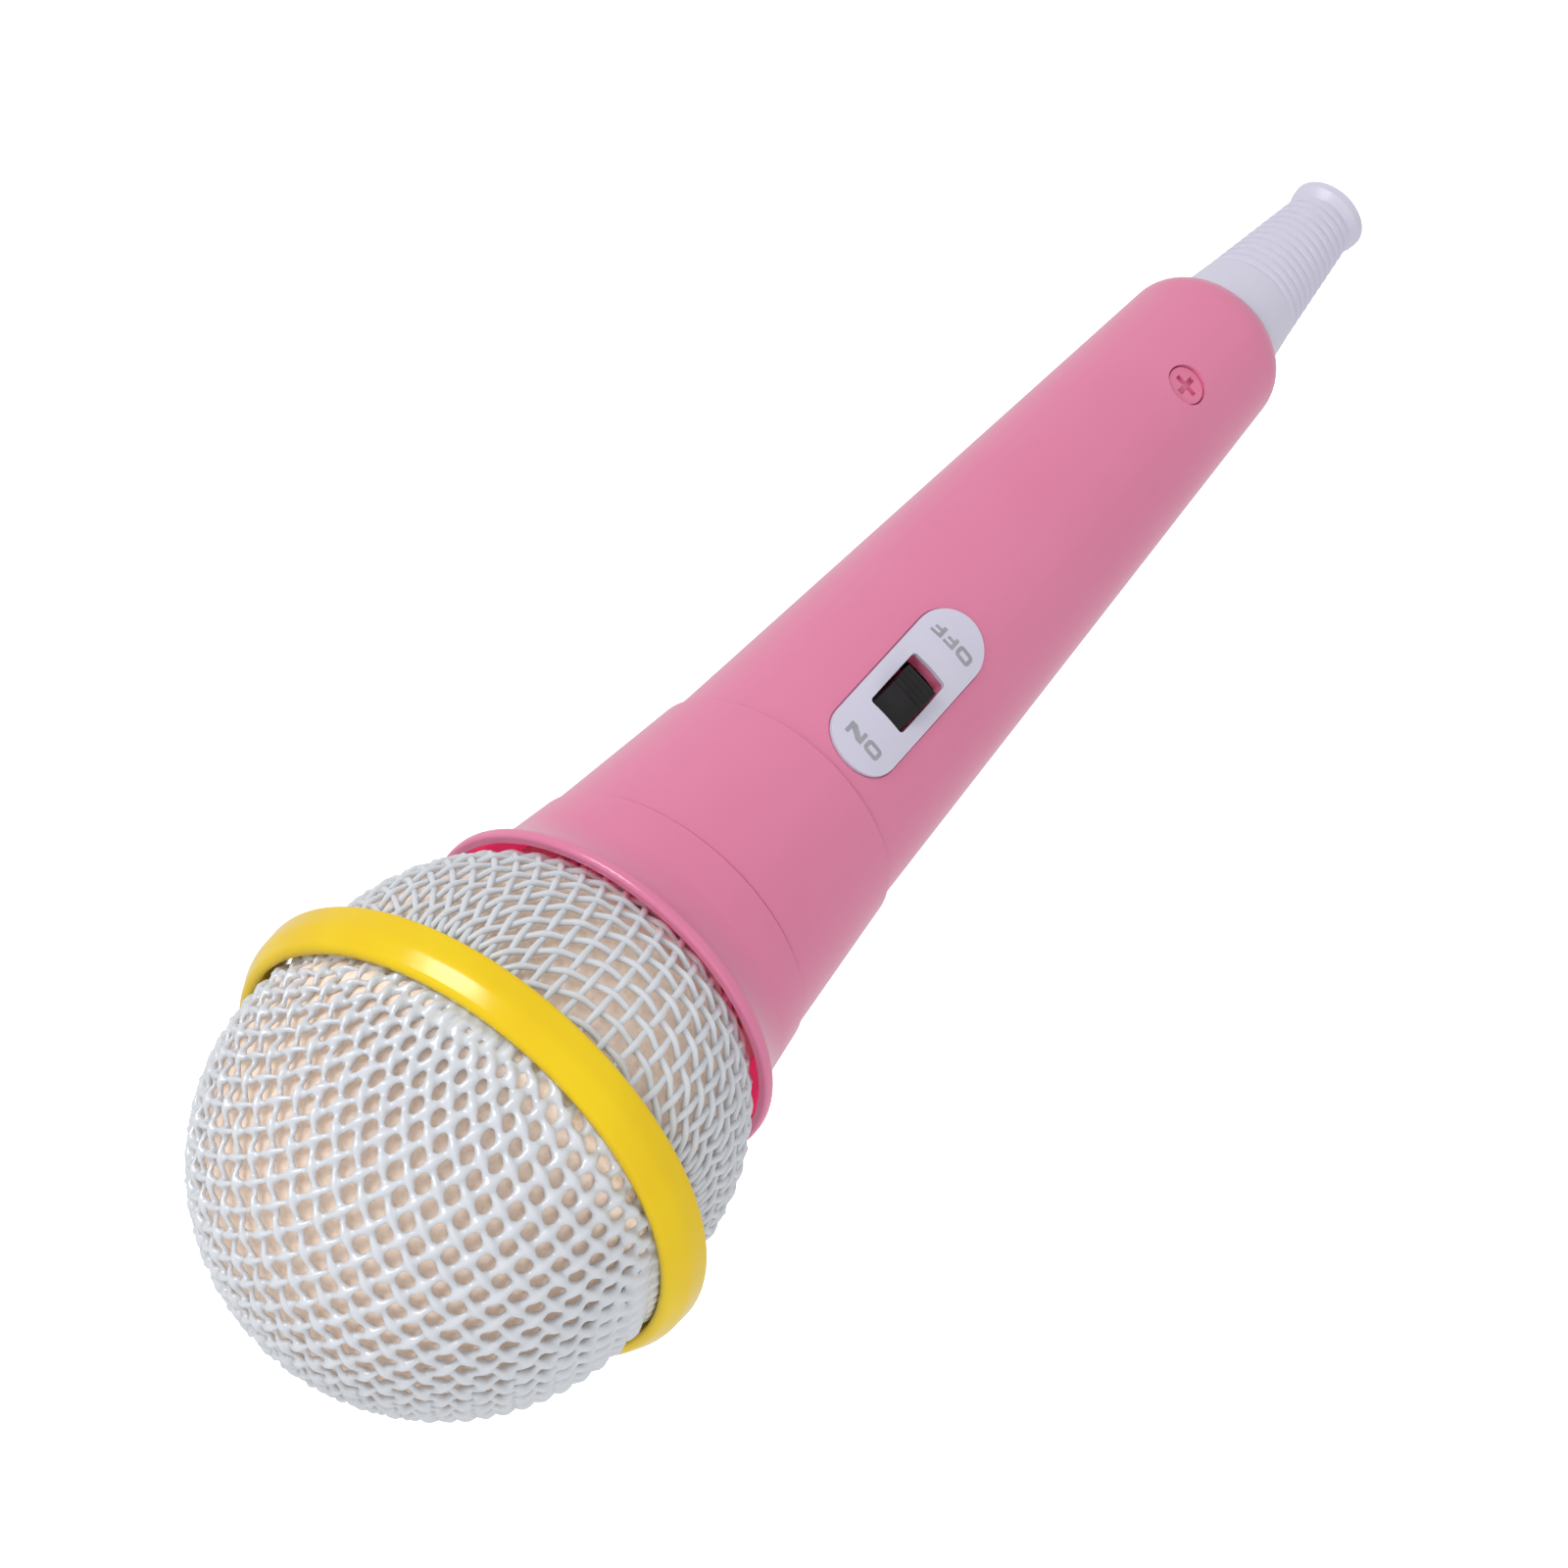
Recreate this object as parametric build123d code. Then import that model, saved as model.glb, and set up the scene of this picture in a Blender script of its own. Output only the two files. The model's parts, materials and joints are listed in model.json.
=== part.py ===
"""Toy microphone: a mesh ball, a collar, a tapered handle with a slide switch, and a ribbed tail.

The microphone stands upright in its frame: +Z runs along its axis from the tail to the ball, the
origin is the centre of the tail's end, and the switch faces -Y. All lengths are in millimetres.
"""
from build123d import *
import math
import os

os.makedirs("parts", exist_ok=True)

# ---------------------------------------------------------------- heights along the axis
TAIL_RIBS_LOW = 2.4
TAIL_RIBS_HIGH = 19.0
HANDLE_END = 24.9
TAIL_PLUG_HIGH = 30.0
HANDLE_TOP = 117.0
NECK_TOP = 136.3
FLARE = 141.6
RIM = 148.1
RIM_BAND = 146.9
RING_LOW = 167.8
RING_CREST = 171.0
RING_HIGH = 173.4
DOME_CENTRE = 174.2

# ---------------------------------------------------------------- outer radii
TAIL_END_R = 4.8
TAIL_WAIST_R = 4.3
TAIL_RIB_TOP_R = 6.25
TAIL_TOP_R = 7.25
TAIL_PLUG_R = 7.5
HANDLE_END_R = 9.6
HANDLE_TOP_R = 15.2
SLEEVE_LOW_R = 15.55
SLEEVE_TOP_R = 17.45
COLLAR_LOW_R = 17.75
FLARE_R = 18.5
RIM_R = 21.4
BASKET_SPHERE_R = 25.5
BASKET_SPHERE_Z = 164.2
BASKET_LOW = 145.0
DOME_R = 26.0
RING_CREST_R = 28.2
RING_FRONT_R = 27.05
RING_REAR_R = 28.35

# ---------------------------------------------------------------- walls and clearances
WALL = 1.8
MESH_THICK = 1.4
GAP = 0.1
FOAM_THICK = 2.2
FOAM_GAP = 0.4
FOAM_LOW = 147.4
CLAMP_IN_R = 22.2
HANDLE_EDGE_ROUND = 5.2

# ---------------------------------------------------------------- switch
SWITCH_Z = 102.8
PLATE_LENGTH = 25.4
PLATE_WIDTH = 8.6
PLATE_PROUD = 0.2
PLATE_THICK = 0.5
PLATE_POCKET_GAP = 0.15
WINDOW_LENGTH = 8.9
WINDOW_WIDTH = 4.9
WINDOW_SHIFT = 0.4
KNOB_LENGTH = 6.2
KNOB_WIDTH = 4.1
KNOB_HEIGHT = 1.35
KNOB_DEPTH = 4.0
KNOB_END_GAP = 0.15
KNOB_RIBS = 4
KNOB_FRONT = 2.9
KNOB_RIB_DEPTH = 0.34
WINDOW_ROUND = 0.5
HOUSING_TOP = -4.2
HOUSING_SIZE = (4.6, 9.6, 3.0)
BOARD_SIZE = (13.0, 34.0, 1.0)
BOSS_OFFSET = (4.6, 14.3)
BOARD_SHIFT = -2.0

# ---------------------------------------------------------------- batteries
CELL_R = 5.25
CELL_LENGTH = 43.5
NUB_LENGTH = 1.0
TUBE_IN_R = 5.5
TUBE_OUT_R = 6.25
TUBE_LOW = 33.0
TUBE_OFFSET_Y = 1.6
CELLS_LOW = 34.0
LOWER_CONTACT = 30.3
CONTACT_THICK = 0.4
SPRING_R = 3.0
SPRING_WIRE_R = 0.28

# ---------------------------------------------------------------- wires
LEAD_R = 0.35
CAPSULE_LEAD_R = 0.5

# ---------------------------------------------------------------- tail screw
SCREW_Z = 43.0
SCREW_RECESS_R = 2.5
SCREW_HEAD_R = 2.3
SCREW_SUNK = 0.45
SCREW_SHANK_R = 1.0

# ---------------------------------------------------------------- inside the ball
SPEAKER_RIM_R = 18.0
SPEAKER_SEAT = 156.6
CAPSULE_R = 4.85
CAPSULE_LOW = 177.0
CAPSULE_HEIGHT = 6.0

FOOT_DOWN = (Align.CENTER, Align.CENTER, Align.MIN)
HANDLE_SLOPE = (HANDLE_TOP_R - HANDLE_END_R) / (HANDLE_TOP - HANDLE_END)
HANDLE_TILT = math.atan(HANDLE_SLOPE)


def handle_radius(z):
    """Outer radius of the handle's cone at a height."""
    return HANDLE_END_R + HANDLE_SLOPE * (z - HANDLE_END)


def turned(*points):
    """Solid of revolution about Z from (radius, height) corner points."""
    corners = [(r, 0, z) for r, z in points]
    return revolve(make_face(Polyline(*corners, close=True)), Axis.Z)


def ring_solid(out_r, in_r, low, high):
    """Plain straight ring about Z."""
    return turned((in_r, low), (out_r, low), (out_r, high), (in_r, high))


def bullet(radius):
    """Solid half ball on a short straight skirt, the form of the dome and of the hollows in it."""
    skirt = Pos(0, 0, (RING_CREST + DOME_CENTRE) / 2) * Cylinder(radius, DOME_CENTRE - RING_CREST)
    return skirt + Pos(0, 0, DOME_CENTRE) * Sphere(radius, arc_size1=0, align=FOOT_DOWN)


def sphere_band(radius, low, high):
    """Slice of a ball centred on the basket's centre, between two heights."""
    ball = Pos(0, 0, BASKET_SPHERE_Z) * Sphere(radius)
    return ball & Pos(0, 0, (low + high) / 2) * Cylinder(radius + 1, high - low)


def surface_plane(z):
    """Plane on the handle's front line: x across, y towards the ball, z outwards."""
    normal = (0, -math.cos(HANDLE_TILT), -math.sin(HANDLE_TILT))
    return Plane(origin=(0, -handle_radius(z), z), x_dir=(1, 0, 0), z_dir=normal)


def handle_cone(offset):
    """The handle's outer cone, grown outwards by an offset and run on past both its ends."""
    low, high = HANDLE_END - 10, HANDLE_TOP + 10
    grow = offset / math.cos(HANDLE_TILT)
    return turned((0, low), (handle_radius(low) + grow, low), (handle_radius(high) + grow, high), (0, high))


def on_plane(plane, x, y, z, shape):
    """A shape placed in a plane's own frame."""
    return plane * (Pos(x, y, z) * shape)


def wire(points, radius, bend):
    """Round wire along a route with rounded corners."""
    route = FilletPolyline(*points, radius=bend)
    start = Plane(origin=route @ 0, z_dir=route % 0)
    return sweep(start * Circle(radius), path=route)


SWITCH = surface_plane(SWITCH_Z)
SCREW = surface_plane(SCREW_Z)


# ---------------------------------------------------------------- ball
def grille_dome():
    return bullet(DOME_R) - bullet(DOME_R - MESH_THICK)


def grille_basket():
    high = RING_CREST - GAP
    return sphere_band(BASKET_SPHERE_R, BASKET_LOW, high) - Pos(0, 0, BASKET_SPHERE_Z) * Sphere(
        BASKET_SPHERE_R - MESH_THICK)


def grille_ring():
    lip = BASKET_SPHERE_R + GAP
    bore = DOME_R + GAP
    return turned(
        (lip, RING_LOW), (RING_REAR_R - 0.3, RING_LOW), (RING_REAR_R, RING_LOW + 0.3),
        (RING_CREST_R, RING_CREST), (RING_FRONT_R, RING_HIGH - 0.15), (RING_FRONT_R - 0.15, RING_HIGH),
        (bore, RING_HIGH), (bore, RING_LOW + 1.6), (lip, RING_LOW + 1.6))


def ring_clamp_band():
    low_r, high_r = 22.95, 24.45
    return turned(
        (CLAMP_IN_R, RING_LOW), (low_r, RING_LOW), (low_r, RING_CREST), (high_r, RING_CREST + 0.3),
        (high_r, RING_HIGH), (CLAMP_IN_R, RING_HIGH))


def foam_liner():
    """Foam cup just inside both meshes, with a waist where it passes the clamp band."""
    dome_r = DOME_R - MESH_THICK - FOAM_GAP
    ball_r = BASKET_SPHERE_R - MESH_THICK - FOAM_GAP
    outer = bullet(dome_r) + sphere_band(ball_r, FOAM_LOW, RING_CREST)
    waist = ring_solid(DOME_R, CLAMP_IN_R - GAP, RING_LOW - 0.4, RING_HIGH + 0.4)
    hollow = bullet(CLAMP_IN_R - FOAM_THICK) + sphere_band(ball_r - FOAM_THICK, FOAM_LOW - 1, RING_CREST)
    return outer - waist - hollow


def speaker_cup():
    """Bowl with a foot flange on the ferrule and a ledge for the speaker's rim."""
    shell = turned(
        (6, 145.2), (14.6, 145.2), (14.9, 146.6), (13.2, 146.9), (13.4, 148), (15.5, 150.3),
        (17.7, 153.2), (19.2, 155.8), (19.2, SPEAKER_SEAT + 2), (18.2, SPEAKER_SEAT + 2),
        (18.2, SPEAKER_SEAT), (16.8, SPEAKER_SEAT), (15.9, 153.8), (13.8, 151), (12.2, 148.8),
        (11.8, 146.6), (6, 146.6))
    lead_hole = Pos(10.4, -3.0, 146) * Cylinder(1.2, 4)
    return shell - lead_hole


def speaker_frame():
    return turned(
        (4.2, 153.1), (8.0, 153.1), (16.0, SPEAKER_SEAT + 0.1), (SPEAKER_RIM_R, SPEAKER_SEAT + 0.1),
        (SPEAKER_RIM_R, SPEAKER_SEAT + 1.1), (15.4, SPEAKER_SEAT + 1.1), (7.6, 154.0), (4.2, 154.0))


def speaker_cone():
    return turned(
        (0, 156.6), (3.0, 156.2), (4.6, 155.2), (14.0, SPEAKER_SEAT + 1.6), (16.8, SPEAKER_SEAT + 1.3),
        (16.8, SPEAKER_SEAT + 1.7), (14.0, SPEAKER_SEAT + 2.0), (4.6, 155.7), (3.2, 156.7), (0, 157.1))


def speaker_magnet():
    return turned((0, 147.6), (7.6, 147.6), (7.6, 153.0), (4.0, 153.0), (4.0, 154.8), (0, 154.8))


def capsule_bridge():
    """Ring over the speaker's rim, three arched legs and a seat for the capsule's holder."""
    base = SPEAKER_SEAT + 2.1
    bridge = ring_solid(19.2, 17.6, base, base + 1.4)
    seat = CAPSULE_LOW - 2.2
    bridge += ring_solid(5.6, 2.6, seat, seat + 1.2)
    reach = 18.4 - 4.6
    rise = seat + 0.6 - (base + 0.7)
    length = math.hypot(reach, rise)
    lean = math.degrees(math.atan2(rise, reach))
    for turn in (90, 210, 330):
        leg = Pos(11.5, 0, base + 0.7 + rise / 2) * Rot(0, lean, 0) * Box(length, 1.8, 1.2)
        bridge += Rot(0, 0, turn) * leg
    return bridge


def capsule_holder():
    low = CAPSULE_LOW - 0.9
    return turned(
        (2.4, low), (6.2, low), (6.2, CAPSULE_LOW + 4.6), (CAPSULE_R + GAP, CAPSULE_LOW + 4.6),
        (CAPSULE_R + GAP, CAPSULE_LOW), (2.4, CAPSULE_LOW))


def mic_capsule():
    high = CAPSULE_LOW + CAPSULE_HEIGHT
    low = CAPSULE_LOW + GAP
    return turned((0, low), (CAPSULE_R, low), (CAPSULE_R, high - 0.3), (CAPSULE_R - 0.3, high), (2.9, high),
                  (2.9, high - 0.3), (0, high - 0.3))


# ---------------------------------------------------------------- collar and neck
def basket_ferrule():
    return turned(
        (13.6, 138.0), (16.1, 138.0), (16.1, 142.4), (16.4, 142.9), (16.4, 144.9), (15.0, 144.9),
        (13.6, 144.9))


def collar():
    """Short neck that flares out to a rounded rim band, with a cup inside for the basket's foot."""
    neck = Polyline((16.2, NECK_TOP), (COLLAR_LOW_R, NECK_TOP), (FLARE_R, FLARE))
    flare = ThreePointArc((FLARE_R, FLARE), (19.35, 144.2), (RIM_R - 0.5, RIM_BAND - 0.3))
    swell = ThreePointArc((RIM_R - 0.5, RIM_BAND - 0.3), (RIM_R - 0.12, RIM_BAND), (RIM_R, RIM_BAND + 0.4))
    side = Line((RIM_R, RIM_BAND + 0.4), (RIM_R, RIM - 0.4))
    lip = ThreePointArc((RIM_R, RIM - 0.4), (RIM_R - 0.12, RIM - 0.12), (RIM_R - 0.4, RIM))
    rim = Polyline((RIM_R - 0.4, RIM), (20.35, RIM), (19.6, 146.5))
    inner = ThreePointArc((19.6, 146.5), (18.6, 144.9), (17.2, 143.8))
    foot = Polyline((17.2, 143.8), (16.7, 142.9), (16.2, 142.0), (16.2, NECK_TOP))
    outline = neck + flare + swell + side + lip + rim + inner + foot
    return revolve(Plane.XZ * make_face(outline), Axis.Z)


def neck_sleeve():
    return turned(
        (13.7, HANDLE_TOP + GAP), (SLEEVE_LOW_R - 0.15, HANDLE_TOP + GAP), (SLEEVE_LOW_R, HANDLE_TOP + 0.3),
        (SLEEVE_TOP_R, NECK_TOP - 0.3), (SLEEVE_TOP_R - 0.2, NECK_TOP - GAP), (16.1, NECK_TOP - GAP),
        (16.1, NECK_TOP + 1.6), (14.4, NECK_TOP + 1.6), (14.4, NECK_TOP - 1.6), (13.7, HANDLE_TOP + 5))


# ---------------------------------------------------------------- handle
def handle_shell():
    """Tapered tube with a spigot, a pocket and slot for the switch, and bosses inside."""
    end = HANDLE_END
    face_r = HANDLE_END_R
    outer = turned((0, end), (face_r, end), (HANDLE_TOP_R - 0.15, HANDLE_TOP), (0, HANDLE_TOP))
    outer = fillet(outer.edges().filter_by(GeomType.CIRCLE).sort_by(Axis.Z)[0], HANDLE_EDGE_ROUND)
    floor, shoulder = end + 2, HANDLE_TOP - 8
    outer += ring_solid(13.6, 10, HANDLE_TOP - 1, HANDLE_TOP + 4.6)
    hollow = turned(
        (0, floor), (TAIL_PLUG_R + 0.15, floor), (TAIL_PLUG_R + 0.15, TAIL_PLUG_HIGH + 0.4),
        (handle_radius(33) - WALL, 33), (handle_radius(shoulder) - WALL, shoulder),
        (12.3, HANDLE_TOP), (12.3, HANDLE_TOP + 6), (0, HANDLE_TOP + 6))
    shell = outer - hollow
    shell += board_bosses() + screw_boss()
    shell -= Pos(0, 0, end) * Cylinder(TAIL_TOP_R + GAP, 10)
    shell -= switch_pocket()
    shell -= on_plane(SCREW, 0, 0, 0, Cylinder(SCREW_RECESS_R, 2.8))
    shell -= on_plane(SCREW, 0, 0, 0, Cylinder(SCREW_SHANK_R + 0.2, 12))
    return shell


def board_bosses():
    """Two posts from the handle's wall to the circuit board."""
    depth = HOUSING_SIZE[2] - HOUSING_TOP - GAP
    posts = Part()
    for side in (1, -1):
        x, y = BOSS_OFFSET[0] * side, BOSS_OFFSET[1] * side + BOARD_SHIFT
        post = on_plane(SWITCH, x, y, -depth / 2, Cylinder(1.9, depth))
        posts += post - on_plane(SWITCH, x, y, -depth, Cylinder(0.85, 6))
    return posts & handle_cone(-0.6)


def screw_boss():
    """Thick pad behind the tail screw's recess."""
    return on_plane(SCREW, 0, 0, -1.7, Cylinder(SCREW_RECESS_R + 1.0, 3.4)) & handle_cone(-0.6)


def switch_pocket():
    """Shallow stadium pocket for the plate, with the knob's slot through its floor."""
    long, wide = PLATE_LENGTH + 2 * PLATE_POCKET_GAP, PLATE_WIDTH + 2 * PLATE_POCKET_GAP
    prism = SWITCH * extrude(Rot(0, 0, 90) * SlotOverall(long, wide), 6, both=True)
    pocket = prism - handle_cone(PLATE_PROUD - PLATE_THICK - 0.05)
    return pocket + SWITCH * (Pos(0, WINDOW_SHIFT, 0) * extrude(window_outline(), 4, both=True))


def window_outline():
    """Opening that the knob slides in, the same in the plate and in the handle behind it."""
    return Rot(0, 0, 90) * RectangleRounded(WINDOW_LENGTH, WINDOW_WIDTH, WINDOW_ROUND)


def switch_plate():
    prism = SWITCH * extrude(Rot(0, 0, 90) * SlotOverall(PLATE_LENGTH, PLATE_WIDTH), 6, both=True)
    plate = (prism & handle_cone(PLATE_PROUD)) - handle_cone(PLATE_PROUD - PLATE_THICK)
    return plate - SWITCH * (Pos(0, WINDOW_SHIFT, 0) * extrude(window_outline(), 8, both=True))


def switch_knob():
    """Slide knob at its ON end, with a sloped front, cross ribs and a socket underneath."""
    head = WINDOW_SHIFT + WINDOW_LENGTH / 2 - KNOB_END_GAP
    tail = head - KNOB_LENGTH
    crest = head - KNOB_FRONT
    wave = [(crest, KNOB_HEIGHT)]
    steps = KNOB_RIBS * 8
    for i in range(1, steps + 1):
        dip = (1 - math.cos(2 * math.pi * i * KNOB_RIBS / steps)) / 2
        wave.append((crest + (tail + 0.25 - crest) * i / steps, KNOB_HEIGHT - KNOB_RIB_DEPTH * dip))
    front = Polyline(
        (0, tail, KNOB_HEIGHT - 0.3), (0, tail, -KNOB_DEPTH), (0, head, -KNOB_DEPTH), (0, head, -0.3),
        (0, crest, KNOB_HEIGHT))
    ribs = Spline(*[(0, y, z) for y, z in wave])
    back = Line((0, tail + 0.25, KNOB_HEIGHT), (0, tail, KNOB_HEIGHT - 0.3))
    body = extrude(make_face(front + ribs + back), KNOB_WIDTH / 2, both=True)
    middle = (head + tail) / 2
    socket = Pos(0, middle, -KNOB_DEPTH) * Box(1.8, 2.2, 4.0)
    return SWITCH * (body - socket)


def switch_lever():
    """The slide switch's own lever, which the knob's socket fits over."""
    middle = WINDOW_SHIFT + WINDOW_LENGTH / 2 - KNOB_END_GAP - KNOB_LENGTH / 2
    stem = Pos(0, middle, HOUSING_TOP + 0.5) * Box(1.6, 2.0, 3.2)
    foot = Pos(0, middle, HOUSING_TOP - 1.3) * Box(2.6, 3.4, 0.6)
    return SWITCH * (stem + foot)


def switch_housing():
    wide, long, high = HOUSING_SIZE
    middle = 0.5
    body = Pos(0, middle, HOUSING_TOP - high / 2) * Box(wide, long, high)
    body -= Pos(0, middle, HOUSING_TOP - 1.3) * Box(3.0, long - 2.0, 1.0)
    body -= Pos(0, middle, HOUSING_TOP) * Box(2.0, long - 3.4, 2.0)
    return SWITCH * body


# ---------------------------------------------------------------- electronics
def board_top():
    return HOUSING_TOP - HOUSING_SIZE[2] - GAP


def circuit_board():
    wide, long, thick = BOARD_SIZE
    board = Pos(0, BOARD_SHIFT, board_top() - thick / 2) * Box(wide, long, thick)
    for side in (1, -1):
        x, y = BOSS_OFFSET[0] * side, BOSS_OFFSET[1] * side + BOARD_SHIFT
        board -= Pos(x, y, board_top()) * Cylinder(1.15, 4)
    return SWITCH * board


def amplifier_chip():
    return on_plane(SWITCH, 0, -10.5, board_top() + 0.9, Box(4.0, 5.0, 1.6))


def filter_capacitor():
    body = Cylinder(1.9, 3.8) + Pos(0, 0, 1.9) * Cylinder(1.6, 0.3)
    return on_plane(SWITCH, -2.0, 10.2, board_top() + 2.0, body)


def board_screws():
    """Two small screws from behind the board into its bosses."""
    screws = []
    for side in (1, -1):
        x, y = BOSS_OFFSET[0] * side, BOSS_OFFSET[1] * side + BOARD_SHIFT
        back = board_top() - BOARD_SIZE[2]
        head = Pos(x, y, back - 0.45) * Cylinder(1.5, 0.8)
        shank = Pos(x, y, back + 1.4) * Cylinder(0.8, 3.2)
        screws.append(SWITCH * (head + shank))
    return Compound(children=screws)


def battery_tube():
    tube_high = CELLS_LOW + 2 * (CELL_LENGTH + NUB_LENGTH) + 0.6
    return Pos(0, TUBE_OFFSET_Y, 0) * ring_solid(TUBE_OUT_R, TUBE_IN_R, TUBE_LOW, tube_high)


def battery(low):
    """One AAA cell with its nub."""
    edge = 0.4
    top = low + CELL_LENGTH
    cell = turned(
        (0, low), (CELL_R - edge, low), (CELL_R, low + edge), (CELL_R, top - edge), (CELL_R - edge, top),
        (1.9, top), (1.9, top + NUB_LENGTH - GAP), (0, top + NUB_LENGTH - GAP))
    return Pos(0, TUBE_OFFSET_Y, 0) * cell


def top_contact():
    z = CELLS_LOW + 2 * (CELL_LENGTH + NUB_LENGTH)
    plate = Pos(0, TUBE_OFFSET_Y, z + CONTACT_THICK / 2) * Cylinder(5.3, CONTACT_THICK)
    tab = Pos(0, TUBE_OFFSET_Y - 3.4, z + 1.4) * Box(2.0, 0.4, 2.4)
    return plate + tab


def battery_spring():
    """Three-turn coil between the lower contact and the lower cell."""
    foot = LOWER_CONTACT + 0.6
    height = CELLS_LOW - foot - 0.3
    coil = Helix(pitch=height / 3, height=height, radius=SPRING_R)
    start = Plane(origin=coil @ 0, z_dir=coil % 0)
    return Pos(0, TUBE_OFFSET_Y, foot) * sweep(start * Circle(SPRING_WIRE_R), path=coil)


def spring_contact():
    return Pos(0, TUBE_OFFSET_Y, LOWER_CONTACT) * Cylinder(4.8, CONTACT_THICK)


def battery_wires():
    """Leads from both battery contacts to the circuit board."""
    back = TUBE_OFFSET_Y
    long_route = [(-6.6, -0.6, LOWER_CONTACT), (-7.0, -0.9, 45), (-8.2, -1.6, 70), (-7.6, -4.6, 88)]
    short_route = [(0, back - 3.9, 125), (0, -3.0, 127.5), (-1.6, -5.6, 125), (-2, -6.6, 120.6)]
    long_lead = wire(long_route, LEAD_R, 4)
    short_lead = wire(short_route, LEAD_R, 1)
    return Compound(children=[long_lead, short_lead])


def speaker_wires():
    """Two leads from the board up to the speaker's terminals."""
    leads = []
    for side in (1, -1):
        route = [(3.4 * side, -7.4, 121), (3.2 * side, -5.0, 131), (2.6 * side, -4.0, 141)]
        route.append((4.4 * side, -2.5, 147))
        leads.append(wire(route, LEAD_R, 6))
    return Compound(children=leads)


def capsule_wires():
    """Screened lead from the board, past the speaker, up to the capsule."""
    route = [(5.0, -7.6, 121), (8.8, -6.2, 131), (10.6, -4.0, 141), (10.4, -3.0, 149.5)]
    lower = wire(route, CAPSULE_LEAD_R, 5)
    upper = wire([(1.0, 0, 175.6), (1.0, 0.6, 172), (2.4, 1.4, 168), (5.0, 2.0, 165)], CAPSULE_LEAD_R, 3)
    return Compound(children=[lower, upper])


# ---------------------------------------------------------------- tail
def tail_boot():
    """Ribbed cord guard, its plug inside the handle and the tongue that takes the screw."""
    ribs = 12
    pitch = (TAIL_RIBS_HIGH - TAIL_RIBS_LOW) / ribs
    points = [(0, 0), (TAIL_END_R - 0.3, 0), (TAIL_END_R, 0.3), (TAIL_END_R - 0.1, 1.2)]
    taper = (TAIL_RIB_TOP_R - TAIL_WAIST_R) / (TAIL_RIBS_HIGH - TAIL_RIBS_LOW)
    for i in range(ribs):
        low = TAIL_RIBS_LOW + pitch * i
        r = TAIL_WAIST_R + taper * (low - TAIL_RIBS_LOW)
        points += [(r - 0.3, low), (r - 0.3, low + pitch * 0.3), (r + 0.12, low + pitch * 0.45)]
        points += [(r + 0.12, low + pitch * 0.85)]
    points += [(TAIL_RIB_TOP_R - 0.1, TAIL_RIBS_HIGH), (TAIL_RIB_TOP_R + 0.1, TAIL_RIBS_HIGH + 0.5)]
    points += [(TAIL_TOP_R, HANDLE_END + 1), (TAIL_TOP_R, HANDLE_END + 2.2)]
    points += [(TAIL_PLUG_R, HANDLE_END + 2.3), (TAIL_PLUG_R, TAIL_PLUG_HIGH), (0, TAIL_PLUG_HIGH)]
    boot = turned(*points)
    tongue = Pos(0, -6.0, 38.0) * Box(5.4, 2.0, 18.0)
    boot += tongue
    boot -= on_plane(SCREW, 0, 0, -6, Cylinder(SCREW_SHANK_R + 0.02, 8))
    return boot


def tail_screw():
    """Cross-recess screw that holds the tail in the handle."""
    head = Pos(0, 0, -SCREW_SUNK - 0.4) * Cylinder(SCREW_HEAD_R, 0.8)
    cross = Pos(0, 0, -SCREW_SUNK) * (Box(2.9, 0.72, 1.0) + Box(0.72, 2.9, 1.0))
    shank = Pos(0, 0, -3.2) * Cylinder(SCREW_SHANK_R, 4.4)
    return SCREW * (head - cross + shank)


NODES = {
    "grille_dome": grille_dome(),
    "grille_basket": grille_basket(),
    "grille_ring": grille_ring(),
    "ring_clamp_band": ring_clamp_band(),
    "foam_liner": foam_liner(),
    "speaker_cup": speaker_cup(),
    "speaker_frame": speaker_frame(),
    "speaker_cone": speaker_cone(),
    "speaker_magnet": speaker_magnet(),
    "capsule_bridge": capsule_bridge(),
    "capsule_holder": capsule_holder(),
    "mic_capsule": mic_capsule(),
    "basket_ferrule": basket_ferrule(),
    "collar": collar(),
    "neck_sleeve": neck_sleeve(),
    "handle_shell": handle_shell(),
    "switch_plate": switch_plate(),
    "switch_knob": switch_knob(),
    "switch_lever": switch_lever(),
    "switch_housing": switch_housing(),
    "circuit_board": circuit_board(),
    "amplifier_chip": amplifier_chip(),
    "filter_capacitor": filter_capacitor(),
    "board_screws": board_screws(),
    "battery_tube": battery_tube(),
    "battery_lower": battery(CELLS_LOW),
    "battery_upper": battery(CELLS_LOW + CELL_LENGTH + NUB_LENGTH),
    "top_contact": top_contact(),
    "battery_spring": battery_spring(),
    "spring_contact": spring_contact(),
    "battery_wires": battery_wires(),
    "speaker_wires": speaker_wires(),
    "capsule_wires": capsule_wires(),
    "tail_boot": tail_boot(),
    "tail_screw": tail_screw(),
}

for name, shape in NODES.items():
    export_step(shape, f"parts/{name}.step")
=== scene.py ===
"""Looks of the toy microphone: painted woven mesh over foam, glossy pink and yellow plastics.

The microphone stands on its axis: +Z runs from the tail to the ball and the switch faces -Y.
Shapes are worked in millimetres and made metres as each piece is finished.
"""
import json
import math

import bmesh
import bpy
from mathutils import Matrix, Vector, noise


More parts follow.
